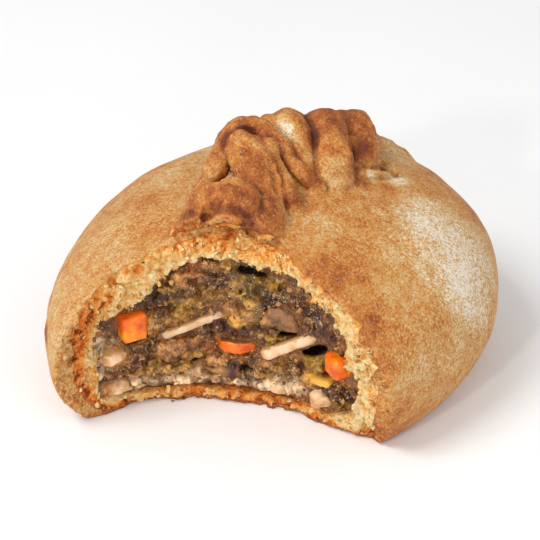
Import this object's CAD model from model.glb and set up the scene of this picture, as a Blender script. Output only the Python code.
"""Dresses a bitten beef and vegetable pasty: its baked crust with the rope crimp, the mixed
filling that the bite opens, the pieces of carrot, swede, potato and beef in it, and the
crumbs along the bite.

Shapes are worked out in millimetres in the pasty's own frame: +Y runs along the crimp away
from the bite, +X to the right, +Z up, with the middle of the unbitten base at the origin.
"""

from __future__ import annotations

import logging
import math
from dataclasses import dataclass
from enum import Enum
from itertools import product
from typing import Any, Callable, Iterable, Sequence

import bmesh
import bpy
import numpy as np
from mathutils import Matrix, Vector

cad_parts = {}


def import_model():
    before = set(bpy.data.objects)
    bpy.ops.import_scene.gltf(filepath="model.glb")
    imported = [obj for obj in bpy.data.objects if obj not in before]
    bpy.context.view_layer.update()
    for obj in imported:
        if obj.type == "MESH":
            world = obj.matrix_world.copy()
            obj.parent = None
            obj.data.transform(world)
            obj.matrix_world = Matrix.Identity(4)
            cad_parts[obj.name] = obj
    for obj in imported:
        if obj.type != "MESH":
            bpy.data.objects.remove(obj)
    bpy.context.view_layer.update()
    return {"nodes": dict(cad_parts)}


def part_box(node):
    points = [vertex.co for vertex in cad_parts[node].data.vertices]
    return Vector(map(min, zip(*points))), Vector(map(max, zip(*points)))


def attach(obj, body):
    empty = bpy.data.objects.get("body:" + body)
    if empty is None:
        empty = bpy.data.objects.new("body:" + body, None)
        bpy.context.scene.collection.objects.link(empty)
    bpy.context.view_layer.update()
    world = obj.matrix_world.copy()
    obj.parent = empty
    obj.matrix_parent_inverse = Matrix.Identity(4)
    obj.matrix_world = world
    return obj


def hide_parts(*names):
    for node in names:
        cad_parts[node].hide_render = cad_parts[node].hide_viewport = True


log = logging.getLogger("pasty")

MM = 0.001
FAR = 50.0  # the distance that stands for nothing near
Array = np.ndarray
Point = tuple[float, float, float]


# ---------------------------------------------------------------- random relief


class Lattice:
    """Smooth random values over space, read from a repeating block of random numbers."""

    SIDE = 32

    def __init__(self, seed: int) -> None:
        """Fills the block.

        Args:
            seed: Picks the random numbers.
        """
        generator = np.random.default_rng(seed)
        self.block = (generator.random(self.SIDE**3) * 2 - 1).astype(np.float32)
        self.jitter = generator.random((3, self.SIDE**3)).astype(np.float32)

    def _spot(self, cell: Array) -> Array:
        """Where the cells' numbers stand in the block."""
        x, y, z = cell % self.SIDE
        return (x * self.SIDE + y) * self.SIDE + z

    def noise(self, points: Array, size: float, octaves: int = 1) -> Array:
        """Smooth values between about -1 and 1.

        Args:
            points: Places, one row each.
            size: The distance between neighbouring bumps of the coarsest octave.
            octaves: How many halvings of that distance are summed.

        Returns:
            One value for each place.
        """
        total = np.zeros(len(points), np.float32)
        for octave in range(octaves):
            scaled = (points.T / (size / 2**octave) + 7.3 * octave).astype(np.float32)
            base = np.floor(scaled).astype(np.int32)
            part = scaled - base
            part *= part * (3 - 2 * part)
            for corner in product((0, 1), repeat=3):
                share = [p if c else 1 - p for c, p in zip(corner, part)]
                found = self.block[self._spot(base + np.array(corner, np.int32)[:, None])]
                total += found * share[0] * share[1] * share[2] / 2**octave
        return total

    def cells(self, points: Array, size: float) -> tuple[Array, Array, Array, Array]:
        """Distances to scattered seeds, which make crumbs and grains.

        Args:
            points: Places, one row each.
            size: The usual distance between seeds.

        Returns:
            The distance to the nearest seed and how much further the second one is, both
            as a share of size, the nearest seed's own number from -1 to 1, and the height
            of a facet that leans its own way in each cell.
        """
        scaled = (points.T / size).astype(np.float32)
        base = np.floor(scaled).astype(np.int32)
        nearest = np.full(len(points), 9.0, np.float32)
        second = nearest.copy()
        number = np.zeros(len(points), np.float32)
        lean = number.copy()
        for step in product((-1, 0, 1), repeat=3):
            cell = base + np.array(step, np.int32)[:, None]
            spot = self._spot(cell)
            jitter = self.jitter[:, spot]
            offset = cell + jitter - scaled
            away = np.sqrt(offset[0] ** 2 + offset[1] ** 2 + offset[2] ** 2)
            number = np.where(away < nearest, self.block[spot], number)
            lean = np.where(away < nearest, 3 * np.sum(offset * (jitter - 0.5), axis=0), lean)
            second = np.minimum(second, np.maximum(away, nearest))
            nearest = np.minimum(nearest, away)
        return nearest, second - nearest, number, lean


def ramp(values: Array, low: float, high: float) -> Array:
    """A smooth step of values from 0 at low to 1 at high."""
    share = np.clip((values - low) / (high - low), 0, 1)
    return share * share * (3 - 2 * share)


def soft_min(first: Array, second: Array, blend: float) -> Array:
    """The smaller of two distances, with the seam rounded over a blend distance."""
    overlap = np.maximum(blend - np.abs(first - second), 0) / blend
    return np.minimum(first, second) - overlap * overlap * blend / 4


def soft_max(first: Array, second: Array, blend: float) -> Array:
    """The larger of two distances, with the seam rounded over a blend distance."""
    return -soft_min(-first, -second, blend)


# ---------------------------------------------------------------- solids as distances


class Grid:
    """A box of evenly spaced points that hold their distance outside a solid."""

    def __init__(self, low: Sequence[float], high: Sequence[float], step: float) -> None:
        """Makes an empty box.

        Args:
            low: Its lowest corner.
            high: Its highest corner.
            step: The distance between points.
        """
        self.low = np.array(low, np.float64)
        self.step = step
        counts = np.ceil((np.array(high) - self.low) / step).astype(int) + 1
        self.values = np.full(counts, FAR, np.float32)

    def lines(self, block: tuple[slice, ...] | None = None) -> list[Array]:
        """The x, y and z of the points, shaped so that they broadcast over a block."""
        block = block or (slice(None),) * 3
        axes = []
        for axis in range(3):
            places = self.low[axis] + self.step * np.arange(self.values.shape[axis])
            shape = [1, 1, 1]
            shape[axis] = -1
            axes.append(places[block[axis]].reshape(shape).astype(np.float32))
        return axes

    def block(self, low: Array, high: Array) -> tuple[slice, ...]:
        """The points between two corners, as slices."""
        first = np.floor((low - self.low) / self.step).astype(int)
        last = np.ceil((high - self.low) / self.step).astype(int) + 1
        first = np.clip(first, 0, self.values.shape)
        last = np.clip(last, 0, self.values.shape)
        return tuple(slice(a, b) for a, b in zip(first, last))

    def relief(self, band: float, change: Callable[[Array], Array]) -> None:
        """Adds a change to every distance near the surface.

        Args:
            band: How far from the surface it reaches.
            change: Gives the change for an array of places, positive to cut.
        """
        near = np.abs(self.values) < band
        places = self.low + self.step * np.argwhere(near)
        self.values[near] += change(places).astype(np.float32)

    def surface(self) -> tuple[Array, Array]:
        """The solid's skin, with one point in each cell that it crosses.

        Returns:
            The points and the four-sided faces, which turn outwards.
        """
        inside = self.values < 0
        corners = list(product((0, 1), repeat=3))
        cells = tuple(n - 1 for n in inside.shape)
        count = np.zeros(cells, np.int8)
        for corner in corners:
            count += inside[tuple(slice(c, c + n) for c, n in zip(corner, cells))]
        active = np.argwhere((count > 0) & (count < 8))
        index = np.full(cells, -1, np.int32)
        index[tuple(active.T)] = np.arange(len(active))
        held = {c: self.values[tuple((active + c).T)] for c in corners}
        total = np.zeros((len(active), 3))
        crossings = np.zeros(len(active))
        for corner, axis in product(corners, range(3)):
            if corner[axis]:
                continue
            other = tuple(1 if i == axis else c for i, c in enumerate(corner))
            start, end = held[corner], held[other]
            crossed = (start < 0) != (end < 0)
            share = np.where(crossed, start / np.where(crossed, start - end, 1), 0)
            for i in range(3):
                place = share if i == axis else corner[i]
                total[:, i] += np.where(crossed, place, 0)
            crossings += crossed
        points = self.low + self.step * (active + total / crossings[:, None])
        return points, self._faces(inside, index)

    def _faces(self, inside: Array, index: Array) -> Array:
        """Joins the points of the four cells round every crossed grid edge."""
        faces = []
        for axis in range(3):
            b, c = (axis + 1) % 3, (axis + 2) % 3
            near = [slice(1, -1)] * 3
            near[axis] = slice(0, -1)
            ahead = list(near)
            ahead[axis] = slice(1, None)
            start = inside[tuple(near)]
            change = np.argwhere(start != inside[tuple(ahead)])
            rises = start[tuple(change.T)]
            base = change.copy()
            base[:, b] += 1
            base[:, c] += 1
            ring = []
            for back_b, back_c in ((1, 1), (0, 1), (0, 0), (1, 0)):
                cell = base.copy()
                cell[:, b] -= back_b
                cell[:, c] -= back_c
                ring.append(index[tuple(cell.T)])
            quads = np.stack(ring, axis=1)
            quads[~rises] = quads[~rises][:, ::-1]
            faces.append(quads)
        return np.concatenate(faces)


def mesh_from(name: str, points: Array, faces: Array) -> bpy.types.Mesh:
    """A smooth mesh in metres from points in millimetres and four-sided faces."""
    mesh = bpy.data.meshes.new(name)
    mesh.vertices.add(len(points))
    mesh.vertices.foreach_set("co", (points * MM).astype(np.float32).ravel())
    mesh.loops.add(faces.size)
    mesh.loops.foreach_set("vertex_index", faces.astype(np.int32).ravel())
    mesh.polygons.add(len(faces))
    mesh.polygons.foreach_set("loop_start", np.arange(0, faces.size, 4, dtype=np.int32))
    mesh.update(calc_edges=True)
    mesh.shade_smooth()
    return mesh


def keep_largest(mesh: bpy.types.Mesh) -> None:
    """Deletes every loose speck and sealed bubble but the largest shell."""
    bm = bmesh.new()
    bm.from_mesh(mesh)
    bm.verts.ensure_lookup_table()
    shell = np.full(len(bm.verts), -1)
    sizes: list[int] = []
    for vert in bm.verts:
        if shell[vert.index] >= 0:
            continue
        shell[vert.index] = len(sizes)
        waiting = [vert]
        size = 0
        while waiting:
            size += 1
            for edge in waiting.pop().link_edges:
                for end in edge.verts:
                    if shell[end.index] < 0:
                        shell[end.index] = len(sizes)
                        waiting.append(end)
        sizes.append(size)
    if len(sizes) > 1:
        largest = int(np.argmax(sizes))
        extra = [vert for vert in bm.verts if shell[vert.index] != largest]
        bmesh.ops.delete(bm, geom=extra, context="VERTS")
        bm.to_mesh(mesh)
    bm.free()


def places_of(mesh: bpy.types.Mesh) -> Array:
    """The places of a mesh's points, in millimetres."""
    found = np.empty(len(mesh.vertices) * 3, np.float32)
    mesh.vertices.foreach_get("co", found)
    return found.reshape(-1, 3) / MM


def normals_of(mesh: bpy.types.Mesh) -> Array:
    """The outward direction at each of a mesh's points."""
    found = np.empty(len(mesh.vertices) * 3, np.float32)
    mesh.vertex_normals.foreach_get("vector", found)
    return found.reshape(-1, 3)


def move_points(mesh: bpy.types.Mesh, points: Array) -> None:
    """Puts a mesh's points at places in millimetres."""
    mesh.vertices.foreach_set("co", (points * MM).astype(np.float32).ravel())
    mesh.update()


def read_attribute(mesh: bpy.types.Mesh, name: str) -> Array:
    """The numbers that a mesh holds for its points under a name."""
    found = np.empty(len(mesh.vertices), np.float32)
    mesh.attributes[name].data.foreach_get("value", found)
    return found


def put_attribute(mesh: bpy.types.Mesh, name: str, values: Array) -> None:
    """Stores one number for each point, which a finish reads by name."""
    made = mesh.attributes.new(name, "FLOAT", "POINT")
    made.data.foreach_set("value", values.astype(np.float32))


def thin_out(mesh: bpy.types.Mesh, spare: Array, ratio: float) -> bpy.types.Mesh:
    """A copy of a mesh with fewer faces.

    Args:
        mesh: The mesh, which is removed.
        spare: For each point how well its faces can be spared, from 0 to 1.
        ratio: The share of the triangles to keep.

    Returns:
        The new mesh.
    """
    holder = bpy.data.objects.new("thinning", mesh)
    bpy.context.scene.collection.objects.link(holder)
    group = holder.vertex_groups.new(name="spare")
    levels = np.round(spare * 10).astype(int)
    for level in range(11):
        chosen = np.flatnonzero(levels == level)
        group.add(chosen.tolist(), level / 10, "REPLACE")
    step = holder.modifiers.new("thin", "DECIMATE")
    step.ratio = ratio
    step.vertex_group = group.name
    step.vertex_group_factor = 1.0
    made = baked(holder, mesh.name)
    bpy.data.meshes.remove(mesh)
    return made


def baked(holder: bpy.types.Object, name: str) -> bpy.types.Mesh:
    """The mesh that an object's modifiers give, after which the object is gone."""
    bpy.context.view_layer.update()
    graph = bpy.context.evaluated_depsgraph_get()
    made = bpy.data.meshes.new_from_object(holder.evaluated_get(graph), depsgraph=graph)
    made.name = name
    bpy.data.objects.remove(holder)
    return made


def add_piece(
    name: str, mesh: bpy.types.Mesh, finish: bpy.types.Material, slot: str, nodes: Sequence[str]
) -> bpy.types.Object:
    """Puts a finished mesh into the scene as a piece of the pasty.

    Args:
        name: The piece's name.
        mesh: Its mesh, in place.
        finish: Its material.
        slot: The record's slot that the finish belongs to.
        nodes: The frame's nodes that it stands for.

    Returns:
        The piece.
    """
    mesh.materials.clear()
    mesh.materials.append(finish)
    piece = bpy.data.objects.new(name, mesh)
    bpy.context.scene.collection.objects.link(piece)
    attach(piece, "root")
    if nodes:
        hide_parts(*nodes)
    mesh.calc_loop_triangles()
    log.info("%s: %d triangles", name, len(mesh.loop_triangles))
    return piece


# ---------------------------------------------------------------- shader maths


class Value:
    """A node's output that can be used in sums."""

    def __init__(self, graph: Graph, socket: bpy.types.NodeSocket) -> None:
        """Wraps a socket of a graph."""
        self.graph = graph
        self.socket = socket

    def _math(self, operation: str, *others: Any) -> Value:
        """One Math node on values."""
        return self.graph.node("ShaderNodeMath", {"operation": operation}, *others)

    def __add__(self, other: Any) -> Value:
        """This value plus another."""
        return self._math("ADD", self, other)

    def __sub__(self, other: Any) -> Value:
        """This value less another."""
        return self._math("SUBTRACT", self, other)

    def __rsub__(self, other: Any) -> Value:
        """Another value less this one."""
        return self._math("SUBTRACT", other, self)

    def __mul__(self, other: Any) -> Value:
        """This value times another."""
        return self._math("MULTIPLY", self, other)

    __radd__ = __add__
    __rmul__ = __mul__

    def step(self, low: float, high: float) -> Value:
        """A smooth step from 0 at low to 1 at high."""
        settings = {"interpolation_type": "SMOOTHSTEP"}
        return self.graph.node("ShaderNodeMapRange", settings, self, low, high, 0.0, 1.0)


class Graph:
    """Makes and joins the nodes of one tree."""

    def __init__(self, tree: bpy.types.NodeTree) -> None:
        """Takes over a tree."""
        self.nodes = tree.nodes
        self.links = tree.links

    def node(self, kind: str, settings: dict, *values: Any, output: Any = 0, **named: Any) -> Value:
        """Adds one node.

        Args:
            kind: The node's type.
            settings: Its properties, set before its sockets. A ramp's stops are pairs of
                a place from 0 to 1 and a colour.
            *values: Values or links of its first sockets, in order.
            output: The socket that the result wraps, by number or name.
            **named: Values or links of sockets by name, with _ for a space.

        Returns:
            The wrapped output.
        """
        made = self.nodes.new(kind)
        for key, value in settings.items():
            if key == "stops":
                self._fill_ramp(made.color_ramp, value)
            else:
                setattr(made, key, value)
        sockets = [s for s in made.inputs if s.enabled]
        for socket, value in zip(sockets, values):
            self.feed(socket, value)
        for key, value in named.items():
            chosen = [s for s in sockets if s.name == key.replace("_", " ")]
            self.feed(chosen[0], value)
        outputs = [s for s in made.outputs if s.enabled]
        return Value(self, outputs[output] if isinstance(output, int) else made.outputs[output])

    @staticmethod
    def _fill_ramp(band: bpy.types.ColorRamp, stops: Sequence[tuple[float, Point]]) -> None:
        """Puts colours at their places along a ramp."""
        while len(band.elements) < len(stops):
            band.elements.new(1.0)
        for element, (spot, colour) in zip(band.elements, stops):
            element.position = spot
            element.color = (*colour, 1.0)

    def feed(self, socket: bpy.types.NodeSocket, value: Any) -> None:
        """Links or sets one socket."""
        if isinstance(value, Value):
            self.links.new(value.socket, socket)
        elif socket.type == "RGBA":
            socket.default_value = (*value, 1.0)
        else:
            socket.default_value = value


class Shader(Graph):
    """Builds one material out of nodes."""

    def __init__(self, name: str) -> None:
        """Starts a material with a Principled shader.

        Args:
            name: The material's name.
        """
        self.material = bpy.data.materials.new(name)
        self.material.use_nodes = True
        super().__init__(self.material.node_tree)
        self.body = self.nodes["Principled BSDF"]
        place = self.node("ShaderNodeTexCoord", {}, output="Object")
        scaled = {"operation": "SCALE"}
        self.place = self.node("ShaderNodeVectorMath", scaled, place, Scale=1 / MM)

    def noise(
        self, size: float, detail: float = 2.0, rough: float = 0.5, warp: float = 0.0
    ) -> Value:
        """Cloudy values from 0 to 1 with bumps about size millimetres apart."""
        settings = {"noise_dimensions": "3D"}
        values = {"Scale": 1 / size, "Detail": detail, "Roughness": rough, "Distortion": warp}
        return self.node("ShaderNodeTexNoise", settings, Vector=self.place, **values)

    def attribute(self, name: str) -> Value:
        """A number that the mesh holds for each point."""
        return self.node("ShaderNodeAttribute", {"attribute_name": name}, output="Fac")

    def shades(self, along: Value, stops: Sequence[tuple[float, Point]]) -> Value:
        """The colour at a place along a ramp of colours."""
        return self.node("ShaderNodeValToRGB", {"stops": stops}, along)

    def mix(self, share: Any, first: Any, second: Any) -> Value:
        """A colour between two."""
        return self.node("ShaderNodeMix", {"data_type": "RGBA"}, share, first, second)

    def tint(self, colour: Any, factor: Value) -> Value:
        """A colour made lighter or darker by a number."""
        scaled = {"operation": "SCALE"}
        return self.node("ShaderNodeVectorMath", scaled, colour, Scale=factor)

    def bump(self, height: Value, depth: float, under: Value | None = None) -> Value:
        """A bumpy normal, whose bumps are depth millimetres deep."""
        extra = {"Normal": under} if under else {}
        values = {"Strength": 1.0, "Distance": depth * MM, "Height": height}
        return self.node("ShaderNodeBump", {}, **values, **extra)

    def finish(self, constants: dict[str, Any], **linked: Any) -> bpy.types.Material:
        """Feeds the Principled shader.

        Args:
            constants: Values that are the same all over.
            **linked: Base_Color, Roughness and Normal, as links.

        Returns:
            The material.
        """
        for key, value in constants.items():
            self.feed(self.body.inputs[key], value)
        for key, value in linked.items():
            self.feed(self.body.inputs[key.replace("_", " ")], value)
        return self.material


def srgb(red: int, green: int, blue: int) -> Point:
    """The linear colour of a display colour."""
    parts = [v / 255 for v in (red, green, blue)]
    return tuple(p / 12.92 if p <= 0.04045 else ((p + 0.055) / 1.055) ** 2.4 for p in parts)


@dataclass(frozen=True)
class PastryFinish:
    """Baked shortcrust: matt, speckled skin that browns by steps, and rough golden crumb."""

    skin: tuple = (
        (0.00, srgb(232, 219, 202)),
        (0.22, srgb(210, 178, 130)),
        (0.40, srgb(200, 148, 78)),
        (0.58, srgb(188, 114, 44)),
        (0.76, srgb(150, 76, 27)),
        (0.95, srgb(92, 42, 17)),
    )
    crumb: tuple = (
        (0.00, srgb(255, 230, 170)),
        (0.22, srgb(255, 206, 128)),
        (0.45, srgb(252, 168, 74)),
        (0.68, srgb(240, 126, 42)),
        (0.95, srgb(150, 66, 20)),
    )
    flour: Point = srgb(240, 218, 184)
    crease: Point = srgb(74, 30, 18)

    def build(self) -> bpy.types.Material:
        """Builds the material.

        Returns:
            The material.
        """
        s = Shader("pastry")
        fine = s.noise(0.45, 2.0, 0.7)
        grit = s.noise(0.7, 1.0, 0.5)
        medium = s.noise(2.2, 3.0, 0.6)
        cloud = s.noise(8.0, 3.0, 0.6, 0.5)
        done = s.attribute("bake")
        bake = done + (cloud - 0.5) * 0.75 + (medium - 0.5) * 0.5
        bake = bake + ((fine - 0.5) * 1.3 + (grit - 0.5) * 0.9) * (1.35 - done * 1.2)
        skin = s.shades(bake * 0.85, self.skin)
        specks = s.noise(0.6, 1.0, 0.6, 0.4).step(0.57, 0.68) * (1.1 - done)
        skin = s.mix(specks * 0.5, skin, self.flour)
        skin = s.mix(s.attribute("slit"), skin, self.crease)
        flakes = s.noise(0.8, 3.0, 0.75, 0.5)
        golden = s.attribute("pit") + (flakes - 0.5) * 1.35 + (medium - 0.5) * 0.5
        golden = golden + s.attribute("rust")
        crumb = s.shades(golden, self.crumb)
        cut = (s.attribute("cut") + (flakes - 0.5) * 0.8).step(0.35, 0.65)
        colour = s.mix(cut, skin, crumb)
        rough = 0.60 + (fine - 0.5) * 0.3 + cut * 0.15
        normal = s.bump(medium, 0.35)
        normal = s.bump(fine, 0.25, normal)
        normal = s.bump(flakes * cut, 1.1, normal)
        return s.finish(
            {
                "Subsurface Weight": 0.06,
                "Subsurface Radius": (1.0, 0.45, 0.2),
                "Subsurface Scale": 0.0015,
                "Specular IOR Level": 0.3,
            },
            Base_Color=colour,
            Roughness=rough,
            Normal=normal,
        )


@dataclass(frozen=True)
class PasteFinish:
    """Moist minced filling in the tints that its mesh holds, with a wet gloss."""

    light: Point = srgb(236, 190, 118)
    dark: Point = srgb(54, 22, 12)
    deep: Point = srgb(38, 18, 12)

    def build(self) -> bpy.types.Material:
        """Builds the material.

        Returns:
            The material.
        """
        s = Shader("paste")
        fine = s.noise(0.55, 2.0, 0.6)
        blots = s.noise(2.2, 3.0, 0.6, 0.6)
        tint = s.node("ShaderNodeAttribute", {"attribute_name": "tint"}, output="Color")
        colour = s.tint(tint, 0.56 + blots * 0.95)
        colour = s.mix((blots + (fine - 0.5) * 0.8).step(0.56, 0.80) * 0.7, colour, self.light)
        murk = (1 - blots) + (fine - 0.5) * 0.7
        colour = s.mix(murk.step(0.52, 0.78) * (0.8 - s.attribute("pale") * 0.6), colour, self.dark)
        colour = s.mix(s.attribute("deep"), colour, self.deep)
        rough = 0.10 + fine * 0.30 + s.attribute("pale") * 0.2
        normal = s.bump(fine, 0.5, s.bump(blots, 0.8))
        return s.finish(
            {
                "Coat Weight": 0.25,
                "Coat Roughness": 0.06,
                "Subsurface Weight": 0.12,
                "Subsurface Radius": (1.0, 0.5, 0.3),
                "Subsurface Scale": 0.0012,
                "Specular IOR Level": 0.38,
            },
            Base_Color=colour,
            Roughness=rough,
            Normal=normal,
        )


@dataclass(frozen=True)
class MorselFinish:
    """Cooked vegetable or meat: a moist surface between two or three colours."""

    name: str
    light: Point
    middle: Point
    dark: Point
    grain: float
    gloss: float = 0.3
    depth: float = 0.12
    soft: float = 0.25
    streak: float = 0.0
    gravy: Point = srgb(112, 76, 40)

    def build(self) -> bpy.types.Material:
        """Builds the material.

        Returns:
            The material.
        """
        s = Shader(self.name)
        fine = s.noise(0.5, 3.0, 0.6)
        blots = s.noise(self.grain, 3.0, 0.55, 0.3 + self.streak)
        tone = s.attribute("tone") * 0.6 + blots * 0.8 + (fine - 0.5) * 0.25 - 0.2
        colour = s.mix(tone.step(0.15, 0.55), self.dark, self.middle)
        colour = s.mix(tone.step(0.50, 0.90), colour, self.light)
        cover = (s.attribute("gravy") + (fine - 0.5) * 0.6).step(0.2, 0.6)
        colour = s.mix(cover, colour, self.gravy)
        rough = self.gloss + (fine - 0.5) * 0.25
        normal = s.bump(fine, self.depth, s.bump(blots, self.depth * 2))
        return s.finish(
            {
                "Subsurface Weight": self.soft,
                "Subsurface Radius": (1.0, 0.5, 0.25),
                "Subsurface Scale": 0.0015,
            },
            Base_Color=colour,
            Roughness=rough,
            Normal=normal,
        )


CARROT = MorselFinish(
    "carrot", srgb(252, 158, 24), srgb(242, 110, 6), srgb(210, 78, 6), grain=2.0, depth=0.1
)
POTATO = MorselFinish(
    "potato",
    srgb(244, 214, 180),
    srgb(232, 190, 146),
    srgb(196, 144, 86),
    grain=2.6,
    gravy=srgb(196, 146, 88),
)
SWEDE = MorselFinish(
    "swede", srgb(240, 200, 90), srgb(228, 170, 62), srgb(190, 120, 50), grain=2.0, gloss=0.35
)
BEEF = MorselFinish(
    "beef", srgb(204, 152, 92), srgb(158, 106, 62), srgb(80, 42, 34), 2.6, gloss=0.25, depth=0.3
)
FAT = MorselFinish(
    "fat", srgb(255, 246, 236), srgb(250, 232, 214), srgb(238, 210, 186), 0.6, 0.05, 0.05
)
GRAIN = MorselFinish(
    "mince", srgb(214, 164, 108), srgb(166, 116, 60), srgb(104, 62, 36), 1.6, 0.25, 0.25
)
PEPPER = MorselFinish(
    "pepper", srgb(60, 40, 30), srgb(34, 24, 18), srgb(20, 14, 10), 0.5, 0.5, 0.05, soft=0.0
)
CRUMB = MorselFinish(
    "crumb", srgb(255, 228, 168), srgb(248, 200, 122), srgb(228, 142, 64), 1.0, 0.7, 0.2, 0.1
)


# ---------------------------------------------------------------- the pasty's shape


@dataclass(frozen=True)
class Bite:
    """The bitten face: an arc in plan between two ends, which changes from base to roof."""

    base_ends: tuple = ((-20.0, -43.5), (39.0, -13.5))
    roof_ends: tuple = ((-18.5, -50.5), (44.5, -20.5))
    roof_height: float = 45.0
    depths: tuple = (
        (0.0, 12.0),
        (40.5, 16.0),
        (45.5, 19.0),
        (48.0, 17.5),
        (52.0, 14.0),
        (60.0, 12.0),
    )
    skew: float = 0.20

    def _frame(self, z: Array) -> tuple[Array, ...]:
        """The chord of the arc at each height: its left end, run and inward direction."""
        share = np.clip(z / self.roof_height, 0, 1)[..., None]
        left = np.array(self.base_ends[0]) * (1 - share) + np.array(self.roof_ends[0]) * share
        right = np.array(self.base_ends[1]) * (1 - share) + np.array(self.roof_ends[1]) * share
        run = right - left
        length = np.linalg.norm(run, axis=-1, keepdims=True)
        inward = np.concatenate([-run[..., 1:], run[..., :1]], axis=-1) / length
        return left, run, inward, length[..., 0]

    def reach(self, x: Array, y: Array, z: Array) -> tuple[Array, Array]:
        """How far each place lies behind the bitten face, and its share along the arc.

        Args:
            x: Places across the pasty.
            y: Places along it.
            z: Heights.

        Returns:
            The distance into the food, below 0 where it is bitten away, and the share from
            -1 at the left end to 1 at the right end.
        """
        left, run, inward, length = self._frame(z)
        offset_x = x - left[..., 0] - run[..., 0] / 2
        offset_y = y - left[..., 1] - run[..., 1] / 2
        share = (offset_x * run[..., 0] + offset_y * run[..., 1]) / length**2 * 2
        inwards = offset_x * inward[..., 0] + offset_y * inward[..., 1]
        heights, depths = zip(*self.depths)
        depth = np.interp(z, heights, depths)
        arc = (1 - share**2) * (1 - self.skew * share)
        slope = depth * (-2 * share - self.skew * (1 - 3 * share**2)) / (length / 2)
        return (inwards - depth * arc) / np.sqrt(1 + slope**2), share


@dataclass(frozen=True)
class Case:
    """The domed pastry case without its crimp."""

    half_length: float = 58.8
    half_width: float = 48.8
    height: float = 47.0
    widest: float = 15.0
    tuck: float = 0.14
    flare: float = 0.097
    crown: float = 2.4
    wall: float = 6.5
    roof: float = 5.6
    floor: float = 3.0

    def distance(self, lines: Sequence[Array], wall: float, roof: float, floor: float) -> Array:
        """The distance outside a dome, drawn in from the case's outer face.

        Args:
            lines: The x, y and z of the places, which broadcast.
            wall: How far the sides are drawn in.
            roof: How far the top is lowered.
            floor: The height of the flat base.

        Returns:
            The distances.
        """
        x, y, z = lines
        across = x / (self.half_width - wall)
        along = y / (self.half_length - wall)
        share = np.hypot(across, along)
        for _ in range(2):
            swell = 1 + self.flare * along / np.maximum(share, 0.05)
            share = np.hypot(across / swell, along)
        climb = np.clip((z - self.widest) / (self.height - roof - self.widest), 0, None)
        limit = 1 - self.tuck * np.clip(1 - z / self.widest, 0, None) ** 2
        plan = share**2
        rows = np.abs(x[1, 0, 0] - x[0, 0, 0])
        plan_x = np.gradient(plan, rows, axis=0)
        plan_y = np.gradient(plan, rows, axis=1)
        level = 1 / limit**2
        top = climb**self.crown
        level_z = np.gradient(level, rows, axis=2)
        top_z = np.gradient(top, rows, axis=2)
        value = plan * level + top - 1
        slope = np.sqrt((plan_x**2 + plan_y**2) * level**2 + (plan * level_z + top_z) ** 2)
        outside = value / np.maximum(slope, 0.004)
        return soft_max(outside, floor - z, 1.2).astype(np.float32)

    def top(self, x: Array, y: Array) -> Array:
        """The height of the dome's outer face over places near its middle."""
        across = x / self.half_width
        along = y / self.half_length
        share = np.hypot(across, along)
        swell = 1 + self.flare * along / np.maximum(share, 0.05)
        share = np.minimum(np.hypot(across / swell, along), 0.999)
        climb = (1 - share**2) ** (1 / self.crown)
        return self.widest + (self.height - self.widest) * climb


@dataclass(frozen=True)
class Roll:
    """One roll of the crimp: a tube of dough under a line of points on its crest.

    Each point of the crest ends with the tube's half width there.
    """

    crest: tuple[tuple[float, float, float, float], ...]
    flat: float = 0.85

    def samples(self, count: int) -> Iterable[tuple[Array, Array, float, float]]:
        """Ellipsoids along the roll.

        Args:
            count: How many.

        Yields:
            Their centre, their axes (along, across and outward), half width and depth.
        """
        line = np.array(self.crest)
        last = len(line) - 1
        for spot in np.linspace(0, last, count):
            *place, width = curve_point(line, spot)
            place = np.array(place)
            ahead = curve_point(line, min(spot + 0.05, last))
            run = ahead - curve_point(line, max(spot - 0.05, 0))
            along = run[:3] / np.linalg.norm(run[:3])
            outward = place - np.array([0.0, place[1], 36.0])
            outward -= along * outward.dot(along)
            outward /= np.linalg.norm(outward)
            depth = width * self.flat
            axes = np.array([along, np.cross(along, outward), outward])
            yield place - outward * depth, axes, width, depth


def curve_point(line: Array, spot: float) -> Array:
    """A place on a smooth curve through points, at a spot counted in points."""
    count = len(line) - 1
    i = min(int(spot), count - 1)
    t = spot - i
    p1, p2 = line[i], line[i + 1]
    p0 = line[i - 1] if i > 0 else 2 * p1 - p2
    p3 = line[i + 2] if i + 2 <= count else 2 * p2 - p1
    bend = 2 * p0 - 5 * p1 + 4 * p2 - p3
    twist = 3 * p1 - p0 - 3 * p2 + p3
    return 0.5 * (2 * p1 + (p2 - p0) * t + bend * t**2 + twist * t**3)


@dataclass(frozen=True)
class Slit:
    """A narrow dark crease in the crimp."""

    line: tuple[Point, ...]
    radius: float = 0.55

    def distance(self, places: Array) -> Array:
        """How far places lie outside the slit's rounded, tapering channel."""
        line = np.array(self.line)
        nearest = np.full(len(places), FAR, np.float32)
        count = 14
        for i in range(count):
            spot = curve_point(line, i / (count - 1) * (len(line) - 1))
            taper = math.sin(math.pi * (i + 0.5) / count) ** 0.5
            away = np.linalg.norm(places - spot, axis=1) - self.radius * taper
            nearest = np.minimum(nearest, away)
        return nearest


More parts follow.
